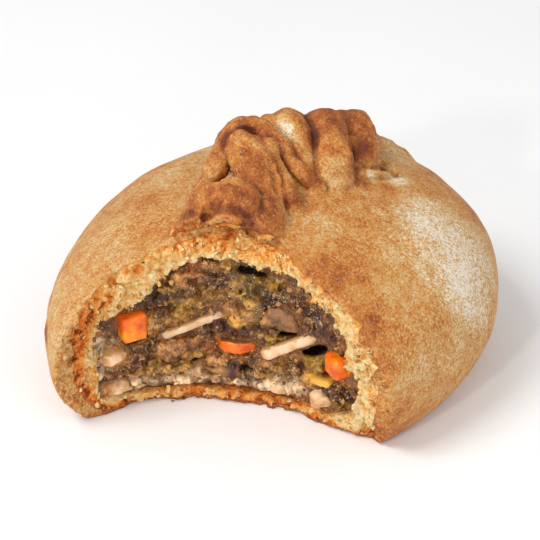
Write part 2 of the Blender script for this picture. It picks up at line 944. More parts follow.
@dataclass(frozen=True)
class Crimp:
    """The hand-rolled rope crimp along the top, from the bite to the tail."""

    core: Roll = Roll(
        (
            (-1, -24, 49.5, 8),
            (-2, -12, 50.5, 8),
            (-4, 2, 52.5, 8),
            (-3, 16, 52, 8),
            (1, 30, 46.5, 7),
            (3, 38, 42, 5),
        ),
        0.75,
    )
    rolls: tuple[Roll, ...] = (
        Roll(
            (
                (-11.3, -16.5, 45.5, 4), (-6.8, -17, 51.7, 4.5), (-2.2, -17.5, 55, 4.5),
                (2.3, -17, 56.6, 4.5), (5.6, -15, 55, 4.5),
            )
        ),
        Roll(
            (
                (3, -19, 53.6, 2.4), (5.5, -20, 52.6, 3), (8, -20, 50.5, 3.2),
                (9, -20.5, 47.5, 3),
            )
        ),
        Roll(
            (
                (-15.6, -6, 46.5, 3.6), (-14.6, -4, 52.8, 3.7), (-13.9, 0, 57.3, 3.5),
                (-11.4, 4, 60.0, 3.0), (-7.4, 6.5, 59.6, 2.8), (-2.6, 6.5, 57.6, 2.4),
                (2.2, 4.8, 54.8, 2.0), (7, 4.5, 52.2, 1.7), (10.6, 6.5, 48, 1.4),
            )
        ),
        Roll(
            (
                (-1.9, 2.5, 57.2, 2), (1.9, 1, 55, 1.7), (5.8, -1, 52.3, 1.5),
                (9, -3, 50, 1.6), (12, -4, 46, 1.8),
            )
        ),
        Roll(
            (
                (-7.5, -0.5, 58.9, 3.6), (-4.3, -1.5, 58.1, 4.2), (-0.9, -3, 56.3, 4.6),
                (3.3, -6.5, 54.2, 4.9), (7.3, -10.5, 51.8, 5.6), (10.5, -13.5, 49.6, 6.2),
                (12, -15, 48, 6.2),
            )
        ),
        Roll(
            (
                (-12, 12, 54.9, 3.5), (-10.6, 14.5, 56.3, 4), (-6.1, 14.5, 58.3, 4.5),
                (-2.2, 13, 57.5, 4.5), (1.2, 10.5, 55.1, 4.5), (4.5, 9, 52.1, 4.5),
                (7.9, 8, 48.5, 4.5),
            )
        ),
        Roll(
            (
                (-5.1, 21, 54.8, 4.5), (-1.8, 22, 56.7, 4.8), (1.7, 20.5, 56.6, 5),
                (5.7, 18, 54.3, 5.4), (10.1, 14.5, 51.5, 5.8), (12.6, 12.5, 47.5, 5.8),
            )
        ),
        Roll(
            (
                (-4, 31, 52.1, 4), (0.4, 32, 53.3, 4.5), (4.4, 31, 52.4, 4.6),
                (7.9, 28.5, 49.8, 4.6), (9.9, 26, 46.8, 4.6), (11, 23.5, 43.5, 4.6),
            )
        ),
        Roll(
            (
                (1.5, 34, 51, 4), (2.8, 38, 46.5, 3.4), (4.2, 43, 40, 3), (5.7, 48, 34, 2.4),
                (7, 51, 29, 1.6),
            )
        ),
        Roll(
            (
                (11, 19, 46.6, 1.6), (13.5, 22, 45.2, 1.5), (15.3, 26, 43.2, 1.4),
                (16.6, 30, 41.1, 1.2),
            )
        ),
    )
    slits: tuple[Slit, ...] = (
        Slit(((2.3, -20.4, 55), (1.2, -21.9, 53), (-0.2, -22.6, 50.4), (-1.6, -22, 47.5)), 0.8),
        Slit(((-11.8, 2.4, 57.8), (-10.4, 3.4, 58.3), (-8.8, 4.6, 58.5)), 0.6),
        Slit(((-9.1, -2.9, 57.7), (-7.4, -4.6, 56.4), (-6.2, -5.4, 54.9)), 0.45),
        Slit(((3, -2.8, 54.7), (5.2, -4.4, 53.3), (7.6, -6.8, 51.7)), 0.55),
        Slit(((6.5, 24, 53), (9.5, 21, 50.5), (11.5, 18.5, 47.5)), 0.8),
        Slit(((9.5, 32, 42), (12.8, 29.8, 42), (15, 28.6, 42)), 1.4),
    )

    def add_to(self, grid: Grid) -> Array:
        """Blends the rolls onto a dome.

        Args:
            grid: The grid that holds the dome.

        Returns:
            How far each point of the grid is from the second nearest roll.
        """
        rope = np.full(grid.values.shape, FAR, np.float32)
        first = rope.copy()
        second = rope.copy()
        for roll in (self.core, *self.rolls):
            tube = np.full(grid.values.shape, FAR, np.float32)
            covered = None
            for centre, axes, width, depth in roll.samples(30):
                reach = width + 1.5
                block = grid.block(centre - reach, centre + reach)
                offset = [line - centre[i] for i, line in enumerate(grid.lines(block))]
                total = np.float32(0)
                for axis, size in zip(axes, (depth, width, depth)):
                    part = sum(float(axis[i]) * offset[i] for i in range(3))
                    total = total + (part / size) ** 2
                away = (np.sqrt(total) - 1) * min(width, depth)
                tube[block] = np.minimum(tube[block], away)
                covered = grown(covered, block)
            rope[covered] = soft_min(rope[covered], tube[covered], 0.8)
            later = np.maximum(first[covered], tube[covered])
            second[covered] = np.minimum(second[covered], later)
            first[covered] = np.minimum(first[covered], tube[covered])
        second = np.minimum(second, np.maximum(first, grid.values) + 0.5)
        grid.values = soft_min(grid.values, rope, 1.3)
        grid.values += 0.3 * (1 - ramp(second, 0.0, 1.2))
        return second

    def _slit_distance(self, places: Array) -> Array:
        """How far places lie outside the nearest slit."""
        return np.min([slit.distance(places) for slit in self.slits], axis=0)

    def crease(self, places: Array) -> Array:
        """How deep in a slit places lie, from 0 outside to 1 in its middle."""
        return 1 - ramp(self._slit_distance(places), -0.2, 0.5)

    def carve(self, places: Array) -> Array:
        """How much the slits cut away at places near the surface."""
        return np.clip(1.6 - 2.0 * np.clip(self._slit_distance(places), 0, None), 0, None)


def grown(box: tuple[slice, ...] | None, block: tuple[slice, ...]) -> tuple[slice, ...]:
    """The smallest block that holds two."""
    if box is None:
        return block
    return tuple(slice(min(a.start, b.start), max(a.stop, b.stop)) for a, b in zip(box, block))


@dataclass(frozen=True)
class Patch:
    """A patch of skin that baked darker or stayed paler, from 0 for pale to 1 for dark."""

    place: Point
    size: float
    bake: float


PATCHES = (
    Patch((34, 19, 37), 12, 0.14),
    Patch((43, 17, 30), 13, 0.05),
    Patch((47, -7, 23), 12, 0.46),
    Patch((-22, -45, 30), 10, 0.50),
    Patch((-46, -8, 26), 12, 0.56),
    Patch((-40, 2, 36), 11, 0.56),
    Patch((-5, -18, 53), 4, 0.85),
    Patch((0, -18.5, 56), 3.5, 0.90),
    Patch((-7, -20, 49), 5, 0.68),
    Patch((5, -21, 52), 3, 0.62),
    Patch((-10.5, 3.5, 58.5), 4, 0.76),
    Patch((-13, -2, 54), 3.5, 0.62),
    Patch((-9.4, -6.7, 51.6), 3.5, 0.40),
    Patch((-4.9, -1.8, 58.5), 3, 0.60),
    Patch((1.1, -5.5, 55.5), 3.5, 0.82),
    Patch((6.1, -9.3, 52.9), 4, 0.82),
    Patch((10.5, -8, 48), 4, 0.38),
    Patch((9, -17, 49), 3.5, 0.68),
    Patch((-9.3, 12.6, 57), 3, 0.70),
    Patch((-2.5, 11.1, 56.7), 3, 0.24),
    Patch((0.8, 14.6, 55.7), 3, 0.92),
    Patch((3.1, 8, 53.2), 3, 0.72),
    Patch((2.3, 20, 56.4), 5.0, 0.92),
    Patch((9.8, 10.2, 50.3), 4.5, 0.56),
    Patch((5.1, 29.2, 51.8), 5.0, 0.90),
    Patch((7.7, 25.4, 49), 4.5, 0.97),
    Patch((11, 24.9, 44.5), 2.5, 0.60),
    Patch((14.4, 18.2, 44.4), 2.4, 0.82),
    Patch((17.8, 21.4, 43.1), 2.6, 0.80),
    Patch((13.6, 21.8, 45), 1.6, 0.15),
    Patch((17, 27, 42.3), 2.5, 0.12),
    Patch((4.8, 43, 39), 5, 0.30),
    Patch((5.7, 2.8, 50), 2.5, 0.45),
    Patch((11.5, 0.7, 46.4), 5, 0.60),
    Patch((17, -4, 45), 6, 0.52),
    Patch((-21.6, -1, 44.2), 4, 0.55),
    Patch((-23.8, -13.2, 42.5), 3.5, 0.66),
    Patch((-9.6, -25.6, 43.7), 5, 0.62),
)


# Where the dough beside the bite is thicker: share, height, width, tall and by how much
THICKER = (
    (-0.68, 32.0, 0.20, 8.0, 7.0),
    (-0.92, 14.0, 0.15, 8.0, 4.5),
    (0.76, 22.0, 0.18, 7.0, 5.0),
    (0.93, 9.0, 0.18, 8.0, 5.0),
)


def hollow_distance(case: Case, bite: Bite, grid: Grid, relief: Lattice) -> Array:
    """The distance outside the space that the filling takes up.

    Args:
        case: The pastry case.
        bite: The bite, beside which the dough is thicker on both sides.
        grid: The grid whose points are asked for.
        relief: Makes the inside of the dough uneven.

    Returns:
        The distances.
    """
    hollow = case.distance(grid.lines(), case.wall, case.roof, case.floor)
    near = (np.abs(hollow) < 9) & (grid.lines()[1] < 10)
    places = grid.low + grid.step * np.argwhere(near)
    behind, share = bite.reach(*places.T)
    thicker = np.zeros(len(places))
    for spot, height, wide, tall, extra in THICKER:
        away = ((share - spot) / wide) ** 2 + ((places[:, 2] - height) / tall) ** 2
        thicker += extra * np.exp(-away - (behind / 14) ** 2)
    hollow[near] += thicker.astype(np.float32)
    near &= np.abs(hollow) < 2
    places = grid.low + grid.step * np.argwhere(near)
    uneven = relief.noise(places + 70, 7.0, 2) * 0.8 + relief.noise(places + 90, 2.4) * 0.5
    hollow[near] += uneven * ramp(places[:, 2], 4, 9)
    return hollow


@dataclass
class Crust:
    """The pastry case with its crimp, open at the bite."""

    case: Case
    bite: Bite
    crimp: Crimp
    shift: Vector
    step: float = 0.45
    keep: float = 0.34

    def build(self, finish: bpy.types.Material) -> bpy.types.Object:
        """Builds the crust.

        Args:
            finish: The pastry's material.

        Returns:
            The piece.
        """
        wide = self.case.half_width + 3
        long = self.case.half_length + 2
        grid = Grid((-wide, -long, -2), (wide, long, 63), self.step)
        grid.values[:] = self.case.distance(grid.lines(), 0, 0, 0)
        second = self.crimp.add_to(grid)
        relief = Lattice(11)
        grid.relief(1.6, lambda p: self._dough(p, relief))
        grid.relief(1.5, self.crimp.carve)
        hollow = hollow_distance(self.case, self.bite, grid, relief)
        grid.values = soft_max(grid.values, -hollow, 0.8)
        skin = grid.values.copy()
        self._cut(grid, skin, relief)
        points, faces = grid.surface()
        mesh = mesh_from("crust", points, faces)
        keep_largest(mesh)
        mesh = thin_out(mesh, self._spare(places_of(mesh)), self.keep)
        points = places_of(mesh)
        spots = np.round((points - grid.low) / grid.step).astype(int)
        spots = np.clip(spots, 0, np.array(second.shape) - 1)
        self._paint(mesh, relief, 1 - ramp(second[tuple(spots.T)], 0.2, 1.5))
        points[:, 2] = np.maximum(points[:, 2], 0)
        move_points(mesh, points + np.array(self.shift))
        return add_piece("crust", mesh, finish, "pastry", ["crust"])

    def _dough(self, places: Array, relief: Lattice) -> Array:
        """The gentle unevenness of the rolled dough, which fades out at the flat base."""
        height = ramp(places[:, 2], 1.0, 9.0)
        above = ramp(self._above(places), 1.0, 4.0)
        slow = relief.noise(places, 17.0) * 0.45 + relief.noise(places + 50, 7.0) * 0.25
        lumps = relief.noise(places + 20, 3.2, 2) * 0.5
        return height * (slow + lumps * (0.15 + above))

    def _cut(self, grid: Grid, skin: Array, relief: Lattice) -> None:
        """Takes the bite away, with crumbly broken edges."""
        x, y, z = np.broadcast_arrays(*grid.lines())
        flat = [a.ravel() for a in (x, y, z)]
        near = (skin.ravel() < 2.0) & (flat[1] < 5)
        places = np.stack([a[near] for a in flat], axis=1)
        behind, _ = self.bite.reach(*places.T)
        broken = np.abs(behind) < 5
        behind[broken] += self._crumble(places[broken], relief)[0]
        solid = grid.values.ravel()
        solid[flat[1] < 5] = np.maximum(solid[flat[1] < 5], 0.0)
        solid[near] = np.maximum(skin.ravel()[near], -behind)
        keep = (flat[1] < 5) & ~near
        solid[keep] = skin.ravel()[keep]
        grid.values = solid.reshape(grid.values.shape)

    def _crumble(self, places: Array, relief: Lattice) -> tuple[Array, Array]:
        """The rough break of the dough.

        Args:
            places: Places on the broken face.
            relief: Makes it rough.

        Returns:
            How far the face stands out, and the part of that which single crumbs make.
        """
        ragged = relief.noise(places, 6.0) * 0.9 + relief.noise(places + 30, 3.4) * 0.7
        low = 1 - ramp(places[:, 2], 3, 9)
        ragged += low * relief.noise(places + 60, 9.0) * 1.6
        bent = places + 0.7 * relief.noise(places + 5, 1.6)[:, None]
        _, gap, number, lean = relief.cells(bent, 2.6)
        crumbs = number * 0.35 + lean * 0.50 - 0.3 * (1 - ramp(gap, 0.0, 0.25))
        crumbs += np.abs(relief.noise(places + 40, 1.9, 2)) * 1.3 - 0.25
        crumbs -= 0.9 * ramp(relief.noise(places + 15, 2.4, 2), 0.3, 0.9)
        return ragged + crumbs, crumbs

    def _spare(self, places: Array) -> Array:
        """How well faces can be spared: hidden ones most, the bite and the crimp least."""
        behind, _ = self.bite.reach(*places.T)
        above = self._above(places)
        inner = self._depth(places)
        hidden = ramp(inner, 2.0, 3.0) * ramp(behind, 3.0, 5.0)
        base = 1 - ramp(places[:, 2], 0.2, 0.6)
        detail = np.maximum(1 - ramp(behind, 2.0, 6.0), ramp(above, -0.5, 1.0))
        return np.clip(np.maximum(np.maximum(hidden, base * 0.9), 0.45 * (1 - detail)), 0, 1)

    def _above(self, places: Array) -> Array:
        """How far places stand above the dome, where the crimp runs."""
        height = places[:, 2] - self.case.top(places[:, 0], places[:, 1])
        crimped = (np.abs(places[:, 0]) < 30) & (places[:, 1] < 50)
        return np.where(crimped, height, np.minimum(height, 0))

    def _depth(self, places: Array) -> Array:
        """About how far places lie inside the case's outer face."""
        case = self.case
        across = places[:, 0] / case.half_width
        along = places[:, 1] / case.half_length
        share = np.hypot(across, along)
        swell = 1 + case.flare * along / np.maximum(share, 0.05)
        share = np.hypot(across / swell, along)
        z = places[:, 2]
        climb = np.clip((z - case.widest) / (case.height - case.widest), 0, 1)
        limit = 1 - case.tuck * np.clip(1 - z / case.widest, 0, None) ** 2
        value = (share / limit) ** 2 + climb**case.crown
        radial = (1 - np.sqrt(np.minimum(value, 1))) * case.half_width * 0.8
        return np.minimum(radial, z + 0.5 * radial)

    def _paint(self, mesh: bpy.types.Mesh, relief: Lattice, valley: Array) -> None:
        """Stores what the finish needs to know about each point."""
        places = places_of(mesh)
        x, y, z = places.T
        behind, share = self.bite.reach(x, y, z)
        above = self._above(places)
        depth = self._depth(places)
        rough, crumbs = self._crumble(places, relief)
        slow = relief.noise(places, 9.0, 2)
        cut = (1 - ramp(np.abs(behind + rough), 1.0, 2.0)) * ramp(depth + above * 0.3, 0.1, 0.8)
        cut = np.where(above > 1.0, cut * (1 - ramp(above, 2.0, 4.0)), cut)
        cut = np.maximum(cut, ramp(depth, 3.0, 4.0) * (z > 1.0))
        bake = 0.50 + 0.24 * ramp(above, 0.8, 2.5) + 0.05 * slow + 0.10 * ramp(x, 4, 24)
        bake += 0.07 * ramp(-x, 24, 42)
        bake += 0.14 * (1 - ramp(behind, 2.0, 12.0)) * ramp(share, -0.4, 0.4)
        for patch in PATCHES:
            away = np.linalg.norm(places - patch.place, axis=1) / patch.size
            weight = np.exp(-(away**2))
            bake = bake * (1 - weight) + patch.bake * weight
        bake += 0.24 * relief.noise(places + 80, 5.0, 2) * ramp(above, 0.8, 2.5)
        valley *= ramp(behind, 0.5, 2.0)
        bake += 0.18 * valley
        bottom = (1 - ramp(z, 0.8, 2.6)) * (1 - ramp(behind, 2.5, 5.0))
        bake = np.maximum(bake, bottom * 0.8)
        wall = (1 - ramp(share, -0.80, -0.35)) * (1 - ramp(z, 28, 36))
        floor = (1 - ramp(z, 3.5, 5.5)) * (1 - ramp(np.abs(share), 0.6, 0.85))
        rust = 0.14 + 0.42 * wall * (1 - ramp(depth, 4.5, 6.5)) - 0.16 * ramp(depth, 4.0, 6.0)
        rust += 0.15 * ramp(z, 39, 43) + 0.30 * floor
        rust -= 0.10 * ramp(share, 0.2, 0.8)
        put_attribute(mesh, "cut", cut)
        put_attribute(mesh, "bake", bake)
        put_attribute(mesh, "rust", np.maximum(rust, bottom * 0.6))
        put_attribute(mesh, "slit", np.maximum(self.crimp.crease(places), 0.45 * valley))
        put_attribute(mesh, "pit", 0.05 + 0.45 * ramp(-crumbs, -0.6, 1.0))
        put_attribute(mesh, "loose", cut * (np.abs(behind + rough) < 2.0) * ramp(depth, 0.0, 1.0))


class Tone(Enum):
    """The colours of what is in the filling, as linear colours."""

    OLIVE = srgb(184, 128, 38)
    BROWN = srgb(150, 90, 34)
    PURPLE = srgb(88, 40, 20)
    TAN = srgb(224, 162, 74)
    PINK = srgb(218, 148, 84)
    GREEN = srgb(176, 130, 38)
    PALE = srgb(255, 216, 170)
    RUST = srgb(194, 98, 36)


@dataclass(frozen=True)
class Lump:
    """One soft lump in the bitten face of the filling.

    The share runs along the bite from -1 to 1. Width, tall and proud are half sizes along
    the bite, upwards and out of it, in millimetres.
    """

    share: float
    height: float
    width: float
    tall: float
    proud: float
    tone: Tone
    lean: float = 0.0

    def distance(self, share: Array, height: Array, behind: Array) -> Array:
        """The distance outside the lump, for places on and near the bitten face."""
        across = (share - self.share) * 33
        up = height - self.height - across * self.lean
        total = (across / self.width) ** 2 + (up / self.tall) ** 2
        deep = max(self.width, self.tall) + self.proud
        total += ((behind - deep + self.proud) / deep) ** 2
        return (np.sqrt(total) - 1) * min(self.width, self.tall)


LUMPS = (
    Lump(-0.37, 34.0, 5.5, 2.0, 0.6, Tone.PINK, 0.10),
    Lump(-0.20, 34.0, 3.5, 1.8, 0.4, Tone.BROWN, 0.10),
    Lump(-0.15, 37.4, 3.0, 2.0, 0.5, Tone.PINK),
    Lump(-0.27, 38.0, 1.6, 2.4, 0.0, Tone.RUST),
    Lump(-0.03, 37.0, 2.8, 1.8, 0.4, Tone.OLIVE, -0.3),
    Lump(0.14, 35.4, 2.4, 1.5, 0.3, Tone.GREEN),
    Lump(0.24, 34.5, 3.0, 2.0, 0.6, Tone.OLIVE, -0.4),
    Lump(0.09, 32.0, 2.2, 1.8, 0.9, Tone.GREEN),
    Lump(0.00, 33.0, 2.8, 2.0, 0.4, Tone.TAN),
    Lump(-0.08, 33.0, 2.6, 2.0, 0.1, Tone.PURPLE),
    Lump(0.01, 29.5, 3.0, 2.2, 0.7, Tone.OLIVE),
    Lump(0.10, 28.2, 2.4, 2.0, 0.4, Tone.TAN),
    Lump(-0.02, 26.5, 2.2, 1.8, 0.6, Tone.PINK),
    Lump(0.05, 24.0, 3.2, 2.2, 0.8, Tone.TAN),
    Lump(-0.01, 22.6, 2.2, 1.6, 0.6, Tone.TAN),
    Lump(0.13, 24.8, 2.2, 1.8, 0.3, Tone.OLIVE),
    Lump(-0.42, 31.4, 3.0, 2.0, 0.4, Tone.OLIVE),
    Lump(-0.30, 30.6, 3.0, 2.2, 0.5, Tone.BROWN),
    Lump(-0.18, 30.2, 3.0, 2.2, 0.4, Tone.OLIVE),
    Lump(-0.47, 28.2, 2.2, 2.6, 0.0, Tone.PURPLE),
    Lump(-0.36, 27.6, 3.0, 2.0, 0.5, Tone.GREEN),
    Lump(-0.24, 27.4, 3.0, 1.8, 0.4, Tone.OLIVE),
    Lump(-0.13, 27.2, 2.2, 1.6, 0.1, Tone.BROWN),
    Lump(-0.36, 24.6, 3.4, 1.8, 0.8, Tone.OLIVE, 0.3),
    Lump(-0.49, 24.6, 1.8, 1.6, 0.3, Tone.BROWN),
    Lump(-0.53, 22.4, 2.4, 1.9, 0.9, Tone.TAN),
    Lump(-0.57, 20.6, 1.5, 1.6, 0.6, Tone.OLIVE),
    Lump(-0.12, 20.4, 2.6, 1.3, 0.2, Tone.PURPLE),
    Lump(0.02, 19.8, 3.4, 1.4, 0.3, Tone.PURPLE),
    Lump(0.14, 21.0, 2.6, 1.6, 0.1, Tone.PURPLE),
    Lump(-0.22, 17.4, 2.6, 1.4, 0.4, Tone.BROWN),
    Lump(-0.44, 16.4, 3.4, 1.2, 0.2, Tone.BROWN),
    Lump(0.22, 19.6, 2.6, 1.0, 0.6, Tone.GREEN, -0.5),
    Lump(0.27, 22.0, 1.6, 2.0, 0.4, Tone.GREEN, -0.5),
    Lump(0.50, 25.6, 2.6, 1.6, 0.0, Tone.BROWN, -0.4),
    Lump(0.47, 30.0, 3.2, 1.6, -0.4, Tone.PURPLE, -0.5),
    Lump(0.60, 26.6, 2.4, 1.8, -0.4, Tone.PURPLE, -0.5),
    Lump(0.22, 29.4, 2.8, 1.6, 0.2, Tone.PURPLE, 0.3),
    Lump(0.16, 26.4, 1.8, 2.4, 0.2, Tone.PURPLE),
    Lump(-0.79, 15.0, 2.6, 2.4, 0.4, Tone.OLIVE),
    Lump(-0.73, 13.4, 2.2, 1.6, 0.5, Tone.PINK),
    Lump(-0.62, 14.6, 2.6, 2.2, 0.4, Tone.BROWN),
    Lump(-0.50, 14.8, 3.2, 2.4, 0.8, Tone.PINK),
    Lump(-0.40, 14.2, 3.0, 2.2, 0.9, Tone.PINK),
    Lump(-0.31, 15.6, 2.4, 1.8, 0.5, Tone.BROWN),
    Lump(-0.26, 13.4, 1.9, 2.0, 0.5, Tone.OLIVE),
    Lump(-0.18, 15.4, 2.0, 1.6, 0.4, Tone.RUST),
    Lump(-0.66, 11.4, 3.0, 1.8, 0.5, Tone.PURPLE),
    Lump(-0.44, 11.6, 3.0, 1.6, 0.5, Tone.BROWN),
    Lump(-0.52, 9.0, 2.6, 2.4, 0.8, Tone.GREEN),
    Lump(-0.39, 8.8, 3.4, 1.7, 1.0, Tone.TAN, 0.2),
    Lump(-0.14, 10.6, 2.8, 1.9, 0.8, Tone.PINK),
    Lump(0.04, 12.6, 3.6, 1.2, 0.5, Tone.BROWN),
    Lump(-0.62, 8.6, 3.2, 1.8, 0.4, Tone.TAN),
    Lump(-0.76, 9.4, 3.6, 1.8, 0.3, Tone.BROWN),
    Lump(0.13, 11.0, 2.4, 1.8, 0.5, Tone.TAN),
    Lump(0.21, 12.4, 2.2, 1.4, 0.4, Tone.PINK),
    Lump(0.30, 11.4, 2.8, 1.8, 0.7, Tone.GREEN),
    Lump(0.16, 8.6, 3.0, 1.6, 0.5, Tone.OLIVE),
    Lump(0.41, 12.2, 2.0, 2.0, 0.3, Tone.PURPLE),
    Lump(0.45, 10.6, 2.4, 1.8, 0.6, Tone.TAN),
    Lump(0.56, 15.8, 2.2, 2.2, 0.4, Tone.GREEN),
    Lump(0.66, 10.6, 2.4, 1.6, 0.4, Tone.PURPLE),
    Lump(0.74, 9.4, 2.8, 1.8, 0.4, Tone.PURPLE),
    Lump(0.73, 6.8, 2.8, 1.4, 0.2, Tone.GREEN),
    Lump(0.35, 7.0, 3.4, 1.8, 0.8, Tone.PALE, -0.1),
    Lump(-0.02, 6.0, 6.0, 1.8, 0.8, Tone.PALE),
    Lump(-0.16, 6.6, 3.0, 1.2, 0.6, Tone.PINK),
    Lump(0.20, 6.0, 4.0, 1.9, 0.9, Tone.PALE),
    Lump(-0.34, 5.8, 4.5, 1.6, 0.7, Tone.PALE),
    Lump(-0.62, 6.0, 5.0, 1.8, 0.6, Tone.PALE),
    Lump(-0.88, 5.4, 3.2, 1.6, 0.5, Tone.PINK),
    Lump(-0.93, 10.6, 2.6, 1.8, 0.4, Tone.PALE),
    Lump(-0.97, 14.0, 2.2, 2.2, 0.0, Tone.PALE),
    Lump(-0.88, 17.0, 2.6, 2.4, 0.0, Tone.PALE),
)

VOIDS = (
    Lump(-0.40, 37.2, 2.8, 1.3, 0.5, Tone.PURPLE, 0.3),
    Lump(-0.19, 39.6, 3.4, 1.0, 0.5, Tone.PURPLE),
    Lump(0.06, 36.8, 1.8, 1.3, 0.5, Tone.PURPLE),
    Lump(0.14, 36.6, 1.6, 0.8, 0.5, Tone.PURPLE, -0.3),
    Lump(-0.56, 30.6, 0.8, 0.8, 0.6, Tone.PURPLE),
    Lump(-0.65, 18.3, 3.2, 1.0, 0.6, Tone.PURPLE, 0.25),
    Lump(0.34, 21.8, 2.6, 0.8, 0.4, Tone.PURPLE, 0.3),
    Lump(0.54, 19.0, 2.8, 1.5, 0.8, Tone.PURPLE, 0.5),
    Lump(-0.28, 10.6, 1.6, 0.5, 0.5, Tone.PURPLE, 0.6),
    Lump(0.06, 8.6, 1.6, 0.5, 0.5, Tone.PURPLE, 0.5),
)


@dataclass
class Filling:
    """The mixed filling that runs through the pasty and shows at the bite."""

    case: Case
    bite: Bite
    shift: Vector
    step: float = 0.42
    gap: float = -0.35
    recess: float = 1.5
    keep: float = 0.4

    def build(self, finish: bpy.types.Material) -> bpy.types.Object:
        """Builds the filling.

        Args:
            finish: The filling's material.

        Returns:
            The piece.
        """
        wide = self.case.half_width
        long = self.case.half_length
        grid = Grid((-wide, -long, 2), (wide, long, 44), self.step)
        outside = hollow_distance(self.case, self.bite, grid, Lattice(11)) + self.gap
        near = (outside < 2.0) & (grid.lines()[1] < 4)
        places = grid.low + grid.step * np.argwhere(near)
        behind, share = self.bite.reach(*places.T)
        relief = Lattice(23)
        band = behind < 9
        face = -behind.astype(np.float32) + self.recess
        face[band] = self._face(places[band], behind[band], share[band], relief)
        solid = outside.copy()
        solid[near] = soft_max(outside[near], face, 0.5)
        grid.values = solid
        points, faces = grid.surface()
        mesh = mesh_from("filling", points, faces)
        keep_largest(mesh)
        places = places_of(mesh)
        behind, _ = self.bite.reach(*places.T)
        mesh = thin_out(mesh, ramp(behind, 6.0, 9.0), self.keep)
        self._paint(mesh, relief)
        move_points(mesh, places_of(mesh) + np.array(self.shift))
        return add_piece("filling", mesh, finish, "filling", ["filling"])

    def _face(self, places: Array, behind: Array, share: Array, relief: Lattice) -> Array:
        """The distance outside the lumpy bitten face."""
        height = places[:, 2]
        face = -behind + self.recess + relief.noise(places, 6.5, 2) * 0.6
        for lump in LUMPS:
            face = soft_min(face, lump.distance(share, height, behind), 0.5)
        near = np.abs(face) < 2
        grain, *_ = relief.cells(places[near], 2.6)
        small, *_ = relief.cells(places[near] + 9, 1.2)
        face[near] += (grain - 0.5) * 1.1 + (small - 0.5) * 0.5
        for void in VOIDS:
            face = soft_max(face, -void.distance(share, height, behind), 0.6)
        return face

    def _paint(self, mesh: bpy.types.Mesh, relief: Lattice) -> None:
        """Stores the colour of each point and how dark and deep it lies."""
        places = places_of(mesh)
        behind, share = self.bite.reach(*places.T)
        height = places[:, 2]
        blur = np.stack([relief.noise(places + k, 1.8, 2) for k in (3, 30, 60)], 1)
        blurred = places + 0.8 * blur
        near_behind, near_share = self.bite.reach(*blurred.T)
        tones = np.array([lump.tone.value for lump in LUMPS], np.float32)
        away = np.stack([v.distance(near_share, blurred[:, 2], near_behind) for v in LUMPS], 1)
        weight = np.exp(-np.clip(away - away.min(axis=1, keepdims=True), 0, 8) / 0.35)
        colour = weight @ tones / weight.sum(axis=1, keepdims=True)
        base = np.array(Tone.BROWN.value, np.float32)
        plain = ramp(away.min(axis=1), 0.3, 1.2)[:, None]
        colour = colour * (1 - plain) + base * plain
        colour *= 1 - 0.5 * ramp(relief.noise(places + 120, 4.5, 2), 0.05, 0.6)[:, None]
        _, gap, number, _ = relief.cells(places, 2.6)
        _, small_gap, small_number, _ = relief.cells(places + 9, 1.2)
        shade = 1.08 + 0.20 * number + 0.18 * small_number - 0.32 * ramp(height, 23, 30)
        shade *= 0.62 + 0.38 * ramp(gap, 0.02, 0.22)
        shade *= 0.80 + 0.20 * ramp(small_gap, 0.02, 0.20)
        colour = colour * shade[:, None]
        deep = np.zeros(len(places), np.float32)
        for void in VOIDS:
            deep = np.maximum(deep, 1 - ramp(void.distance(share, height, behind), 0.0, 0.9))
        deep = np.maximum(deep * ramp(behind, 0.8, 2.5), ramp(behind, 4.0, 6.5))
        shades = np.concatenate([colour, np.ones((len(colour), 1), np.float32)], axis=1)
        made = mesh.attributes.new("tint", "FLOAT_COLOR", "POINT")
        made.data.foreach_set("color", shades.astype(np.float32).ravel())
        put_attribute(mesh, "deep", deep)
        put_attribute(mesh, "front", (behind < 3.5) * (height > 5) * (1 - deep))
        put_attribute(mesh, "pale", ramp(colour[:, 2], 0.25, 0.5))


# ---------------------------------------------------------------- pieces in the filling


@dataclass(frozen=True)
class Morsel:
    """A piece of vegetable or meat in the filling, refined from its plain solid.

    Ease is how many times its edges are smoothed, rough the depth of its unevenness in
    millimetres, and gravy how much of its upward side the gravy covers.
    """

    node: str
    slot: str
    finish: MorselFinish
    ease: int
    rough: float
    gravy: float
    cell: float = 0.26

    def build(self, source: bpy.types.Object, relief: Lattice, finish: bpy.types.Material) -> None:
        """Builds the piece.

        Args:
            source: The plain solid.
            relief: Makes its surface uneven.
            finish: Its material.
        """
        bm = bmesh.new()
        bm.from_mesh(source.data)
        bmesh.ops.remove_doubles(bm, verts=bm.verts, dist=1e-6)
        plain = bpy.data.meshes.new(self.node)
        bm.to_mesh(plain)
        bm.free()
        holder = bpy.data.objects.new("refining", plain)
        bpy.context.scene.collection.objects.link(holder)
        cells = holder.modifiers.new("cells", "REMESH")
        cells.mode = "VOXEL"
        cells.voxel_size = self.cell * MM
        soft = holder.modifiers.new("soft", "SMOOTH")
        soft.factor = 0.5
        soft.iterations = self.ease
        mesh = baked(holder, self.node)
        bpy.data.meshes.remove(plain)
        mesh.shade_smooth()
        places = places_of(mesh)
        turned = normals_of(mesh)
        wave = relief.noise(places, 2.6, 2) * self.rough
        wave += relief.noise(places, 0.8) * self.rough * 0.3
        move_points(mesh, places + turned * wave[:, None])
        cover = turned[:, 2] + relief.noise(places + 40, 1.8, 2) * 0.5
        put_attribute(mesh, "gravy", ramp(cover, 0.4, 0.9) * self.gravy)
        put_attribute(mesh, "tone", 0.5 + 0.5 * relief.noise(places + 9, 2.5, 2))
        add_piece(self.node + "_cooked", mesh, finish, self.slot, [self.node])


